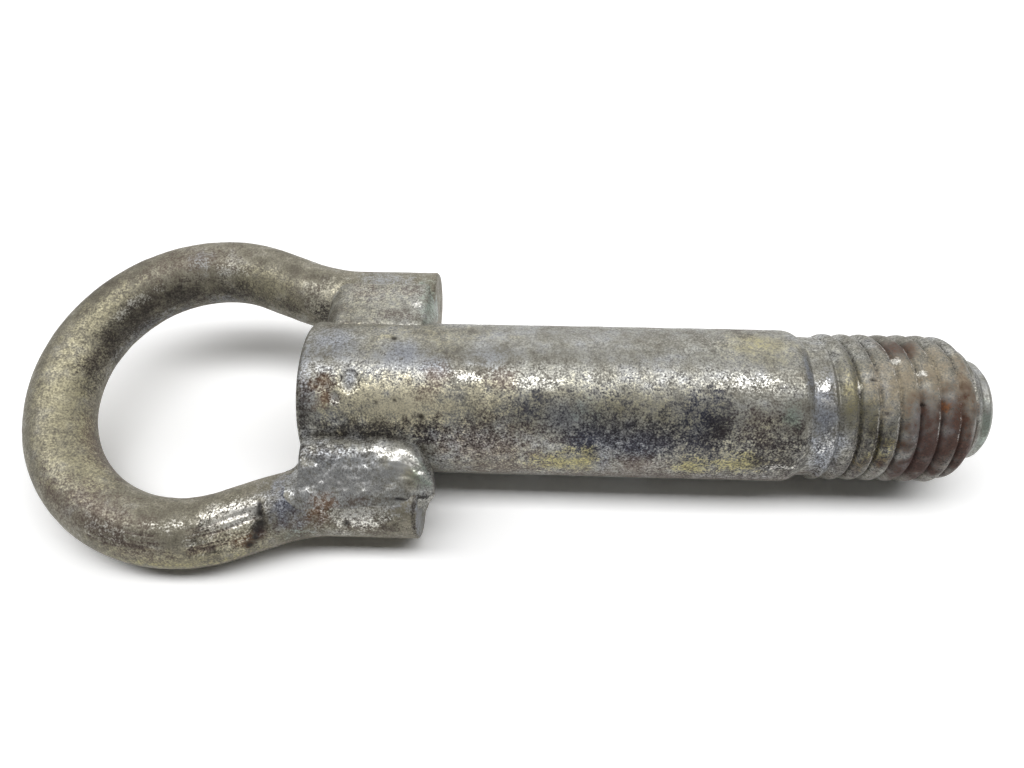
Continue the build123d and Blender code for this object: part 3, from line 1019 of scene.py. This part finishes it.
# face is 1 above and -1 below, and the fillet on the rod changes along filletSpan;
# marks: place along the bead, place across it from bar to rod, half length, half width, strength
weldBeads = {
    "weldNearTop": {
        **nearLeg,
        "node": "weld_near_top",
        "face": 1,
        "start": -82.0,
        "startRun": 3.6,
        "startEdge": 0.7,
        "end": -57.6,
        "endRun": 6.6,
        "endFocus": (4.4, 1.6),
        "bulge": 2.1,
        "fillet": (1.8, 0.5),
        "lump": 0.26,
        "smooth": 0.15,
        "marks": {
            "pale": [(-71, 0.6, 12, 0.5, 1.0)],
            "blue": [(-72, 0.55, 13, 0.5, 0.8)],
            "khaki": [(-61.0, 0.5, 2.6, 0.2, 0.6)],
            "olive": [(-60.6, 0.42, 2.6, 0.16, 0.7)],
            "teal": [(-59.4, 0.38, 2.2, 0.3, 0.9)],
            "rust": [(-74.0, 0.84, 3.0, 0.14, 1.0)],
            "brown": [(-70, 0.85, 8, 0.1, 0.5)],
            "sootAndShade": [
                # painted shade: along the crease on the bar, under the bead's end, on its flank near the
                # rod, and over the crest's left half to break up its highlight
                (-68, 0.0, 13, 0.09, 0.9),
                (-58.3, 0.1, 1.4, 0.2, 0.7),
                (-60, 0.8, 3.5, 0.09, 0.7),
                (-74.5, 0.2, 6.5, 0.17, 0.75),
            ],
            "bareAndHighlight": [
                # these four are a painted highlight along the crest's crescent
                (-65.6, 0.18, 2.6, 0.1, 0.9),
                (-62.8, 0.2, 2.0, 0.1, 1.0),
                (-60.8, 0.26, 1.6, 0.1, 1.0),
                (-59.4, 0.34, 1.2, 0.1, 1.0),
                (-71, 0.6, 10, 0.3, 0.5),
            ],
            "smooth": [(-62, 0.32, 5, 0.4, 0.95)],
            "pit": [(-61.5, 0.8, 4.5, 0.03, 0.9)],
        },
    },
    "weldFarTop": {
        **farLeg,
        **plainBead,
        "node": "weld_far_top",
        "face": 1,
        "start": -78.4,
        "startRun": 4.0,
        "end": -59.6,
        "endRun": 2.0,
        "bulge": 0.4,
        "fillet": (1.2, 1.2),
        "lump": 0.1,
        "smooth": 0.5,
        "marks": {
            "pale": [(-67, 0.5, 9, 0.7, 0.8)],
            "khaki": [(-70, 0.5, 9, 0.8, 0.4)],
            "brown": [
                (-71, 0.7, 5, 0.3, 0.6),
                (-64, 0.75, 5, 0.2, 0.6),
                (-66, 0.2, 6, 0.15, 0.5),
            ],
            "teal": [(-60.4, 0.5, 2.2, 0.8, 0.8)],
            "bareAndHighlight": [(-62.6, 0.45, 1.0, 0.1, 0.9)],
        },
    },
    "weldFarUnder": {
        **farLeg,
        **plainBead,
        "node": "weld_far_under",
        "face": -1,
        "start": -73.9,
        "startRun": 2.2,
        "end": -65.4,
        "endRun": 2.2,
        "bulge": 0.6,
        "fillet": (0.8, 0.8),
        "lump": 0.1,
        "smooth": 0.3,
    },
    "weldNearUnder": {
        **nearLeg,
        **plainBead,
        "node": "weld_near_under",
        "face": -1,
        "start": -78.6,
        "startRun": 3.0,
        "end": -58.8,
        "endRun": 3.0,
        "bulge": 1.6,
        "fillet": (1.0, 1.0),
        "lump": 0.14,
        "smooth": 0.3,
    },
}


def weldStations(bead, look):
    # place along a bead, size of its section there, and how much of it stands clear of the rod
    angles = np.radians(np.linspace(0, 90, look["endSteps"]))[1:]
    first, run, edge = bead["start"], bead["startRun"], bead["startEdge"]
    if edge:
        # hollow start, which rises from the rod and ends in a rounded edge
        risen = look["hollowRise"]
        stations = [(first + run * math.sin(a), 1, risen * (1 - math.cos(a))) for a in angles]
        for a in angles[::3]:
            clear = risen + (1 - risen) * math.sin(a)
            stations.append((first + run + edge * (1 - math.cos(a)), 1, clear))
    else:
        stations = [(first + run * (1 - math.cos(a)), math.sin(a), 1) for a in angles]
    last, endRun = bead["end"], bead["endRun"]
    middle = np.linspace(first + run + edge, last - endRun, look["rows"])[1:]
    stations += [(x, 1, 1) for x in middle]
    stations += [(last - endRun * (1 - math.sin(a)), math.cos(a), 1) for a in angles[:-1]]
    return stations


def rodMiddle(x, look):
    # across the bar, straight along the leg and moving away on the bend
    spread = max(look["bendX"] - x, 0)
    away = look["bendRadius"] - math.sqrt(look["bendRadius"] ** 2 - spread ** 2)
    return np.array([look["legY"] + away, 0.0])


def weldToes(x, rod, bead, look):
    # edges of a bead's face on the bar and on the rod
    barSway, rodSway = (
        angle * noise.noise(Vector((x / look["swayLength"], seed * bead["side"], bead["face"])))
        for angle, seed in zip(look["swayAngles"], look["swaySeeds"])
    )
    barAngle = math.radians(bead["barAngle"] + barSway)
    rodAngle = math.radians(bead["rodAngle"] + rodSway)
    barToe = look["barRadius"] * np.array([math.cos(barAngle), math.sin(barAngle)])
    rodReach = bead["rodShare"] * look["rodRadius"]
    rodToe = rod + rodReach * np.array([-math.cos(rodAngle), math.sin(rodAngle)])
    return barToe, rodToe


def weldDome(x, barToe, rodToe, across, bead, look):
    # bulging, lumpy face between a bead's edges
    chord = rodToe - barToe
    outward = np.array([-chord[1], chord[0]]) / np.linalg.norm(chord)
    rise = bead["bulge"] * (1 - np.abs(2 * across - 1) ** look["crownPower"])
    rise = rise - look["sunk"] * np.clip(1 - 2 * across, 0, 1) ** look["sunkPower"]
    dome = barToe + across[:, None] * chord + rise[:, None] * outward
    places = np.column_stack([np.full(len(across), x), dome * (bead["side"], bead["face"])])
    return dome + bead["lump"] * lumps(places, look["lumpSize"], 3)[:, None] * outward


def rodSurface(x, root, rod, ray, across, look):
    # how far from the root each ray leaves the rod, less where the bead's edge sinks into it
    toRod = ray @ (rod - root)
    inside = toRod ** 2 - ((rod - root) ** 2).sum() + look["rodRadius"] ** 2
    surface = np.where(inside > 0, toRod + np.sqrt(np.maximum(inside, 0)), 0)
    tucked = np.clip((across - look["tuckFrom"]) / (1 - look["tuckFrom"]), 0, 1)
    fallen = np.clip((x - look["legEnd"] + look["legFade"]) / look["legFade"], 0, 1)
    return surface - look["skin"] - look["tuck"] * tucked ** 2 - look["legFall"] * fallen ** 2


def weldRing(x, size, clear, across, bead, look):
    # section through a bead: its face from bar to rod, then three points hidden inside
    rod = rodMiddle(x, look)
    between = (look["barRadius"] + rod[0] - look["rodRadius"]) / 2
    root = np.array([between, 0.0]) + look["root"] + (1 - clear) * np.array(look["hollowRoot"])
    barToe, rodToe = weldToes(x, rod, bead, look)
    atEnd = x > bead["end"] - bead["endRun"]
    focus = root + np.array(bead["endFocus"] if atEnd else look["startFocus"])
    dome = focus + size * (weldDome(x, barToe, rodToe, across, bead, look) - focus)
    ray = dome - root
    reach = np.linalg.norm(ray, axis=1)
    ray = ray / reach[:, None]
    # the face runs out over the rod in a fillet
    surface = rodSurface(x, root, rod, ray, across, look)
    fillet = np.interp(x, look["filletSpan"], bead["fillet"])
    meeting = np.clip(1 - np.abs(reach - surface) / fillet, 0, 1)
    reach = np.maximum(reach, surface) + fillet * meeting ** 2 / 4
    low = np.maximum(surface, look["leastReach"])
    reach = low + clear * (reach - low)
    hidden = np.array([rod + look["innerRod"] * (rodToe - rod), root, look["innerBar"] * barToe])
    hidden = focus + size * (hidden - focus)
    hidden = root + clear ** 2 * (hidden - root)
    ring = np.vstack([root + reach[:, None] * ray, hidden])
    return np.column_stack([np.full(len(ring), x), ring * (bead["side"], bead["face"])])


def makeWeld(name, bead, look):
    across = np.linspace(0, 1, look["crown"])
    stations = weldStations(bead, look)
    rings = rolled(np.array([weldRing(*station, across, bead, look) for station in stations]))
    along = np.repeat(np.array(stations)[:, :1], rings.shape[1], axis=1)
    hiddenAcross = [1.0, 0.5, 0.0]
    over = np.repeat(np.append(across, hiddenAcross)[None], len(stations), axis=0)

    def reachTo(spot):
        place, placeAcross, halfLength, halfWidth = spot[:4]
        return np.hypot((along - place) / halfLength, (over - placeAcross) / halfWidth)

    wander = look["wander"] * lumps(rings, look["wanderSize"], 3)
    layers = paintMarks(bead["marks"], reachTo, wander)
    layers["smooth"] = np.maximum(layers.get("smooth", np.zeros_like(along)), bead["smooth"])
    ends = np.array([rings[0].mean(axis=0), rings[-1].mean(axis=0)])
    piece = closedTube(name, rings, ends, layers)
    piece.data.materials.append(weldFinish)
    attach(piece, "root")
    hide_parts(bead["node"])


for name, bead in weldBeads.items():
    makeWeld(name, bead, weldLook)
print("welds made")


# floor, light and camera

floorLook = {
    "height": -shankLook["barRadius"],  # the bar lies on it
    "halfSize": 550.0,
    "pale": (0.65, 0.65, 0.65, 1),  # as the object is lit by it
    "seen": (1.2, 1.2, 1.2, 1),  # as the camera and reflections see it
}


def seenDirectly(tree):
    path = addNode(tree, "ShaderNodeLightPath").outputs
    seen = addMath(tree, path["Is Camera Ray"], path["Is Glossy Ray"], "MAXIMUM")
    return addMath(tree, seen, path["Is Transmission Ray"], "MAXIMUM")


def makeFloor(look):
    half = look["halfSize"] * mm
    height = look["height"] * mm
    corners = [(-half, -half, height), (half, -half, height), (half, half, height), (-half, half, height)]
    mesh = bpy.data.meshes.new("studioFloor")
    mesh.from_pydata(corners, [], [(0, 1, 2, 3)])
    floor = bpy.data.objects.new("studioFloor", mesh)
    bpy.context.collection.objects.link(floor)
    material = bpy.data.materials.new("paleFloor")
    material.use_nodes = True
    tree = material.node_tree
    shader = tree.nodes["Principled BSDF"]
    shader.inputs["Roughness"].default_value = 1.0
    shader.inputs["Specular IOR Level"].default_value = 0.0
    colour = addMix(tree, seenDirectly(tree), look["pale"], look["seen"])
    tree.links.new(colour, shader.inputs["Base Color"])
    mesh.materials.append(material)


lightLook = {
    # long strip above the part, slightly to the near side
    "strip": {"place": (-40, -105, 1195), "size": (3200, 420), "power": 22.0},
    # big pale sheet behind the part
    "backdrop": {"place": (-40, 1500, 900), "size": (3000, 1200), "power": 16.0},
    "target": (-40, 0, 0),
    "world": (0.04, 0.04, 0.04, 1),  # as it lights the part
    "seenWorld": (1, 1, 1, 1),  # as the camera sees it
}


def makeLamp(name, lamp, target):
    data = bpy.data.lights.new(name, "AREA")
    data.shape = "RECTANGLE"
    data.size, data.size_y = (side * mm for side in lamp["size"])
    data.energy = lamp["power"]
    holder = bpy.data.objects.new(name, data)
    toTarget = Vector(target) - Vector(lamp["place"])
    holder.location = Vector(lamp["place"]) * mm
    holder.rotation_euler = toTarget.to_track_quat("-Z", "Y").to_euler()
    bpy.context.collection.objects.link(holder)


def makeLight(look):
    makeLamp("stripLight", look["strip"], look["target"])
    makeLamp("backdropLight", look["backdrop"], look["target"])
    world = bpy.data.worlds.new("studioWorld")
    bpy.context.scene.world = world
    world.use_nodes = True
    tree = world.node_tree
    cameraRay = addNode(tree, "ShaderNodeLightPath").outputs["Is Camera Ray"]
    colour = addMix(tree, cameraRay, look["world"], look["seenWorld"])
    tree.links.new(colour, tree.nodes["Background"].inputs["Color"])


cameraLook = {
    "place": (-42.027, -81.660, 96.259),
    "angles": (41.5194, 0.6408, 2.2202),  # tilt from straight down, lean, turn
    "lens": 26.354,
    "sensor": 36.0,
    "nearest": 10.0,  # nothing closer than this is drawn
}


def makeCamera(look):
    data = bpy.data.cameras.new("photoCamera")
    data.lens = look["lens"]
    data.sensor_fit = "HORIZONTAL"
    data.sensor_width = look["sensor"]
    data.clip_start = look["nearest"] * mm
    camera = bpy.data.objects.new("photoCamera", data)
    matrix = Euler([math.radians(angle) for angle in look["angles"]]).to_matrix().to_4x4()
    matrix.translation = Vector(look["place"]) * mm
    camera.matrix_world = matrix
    bpy.context.collection.objects.link(camera)
    bpy.context.scene.camera = camera


makeFloor(floorLook)
makeLight(lightLook)
makeCamera(cameraLook)
bpy.context.scene.view_settings.view_transform = "Standard"
print("floor, light and camera set")
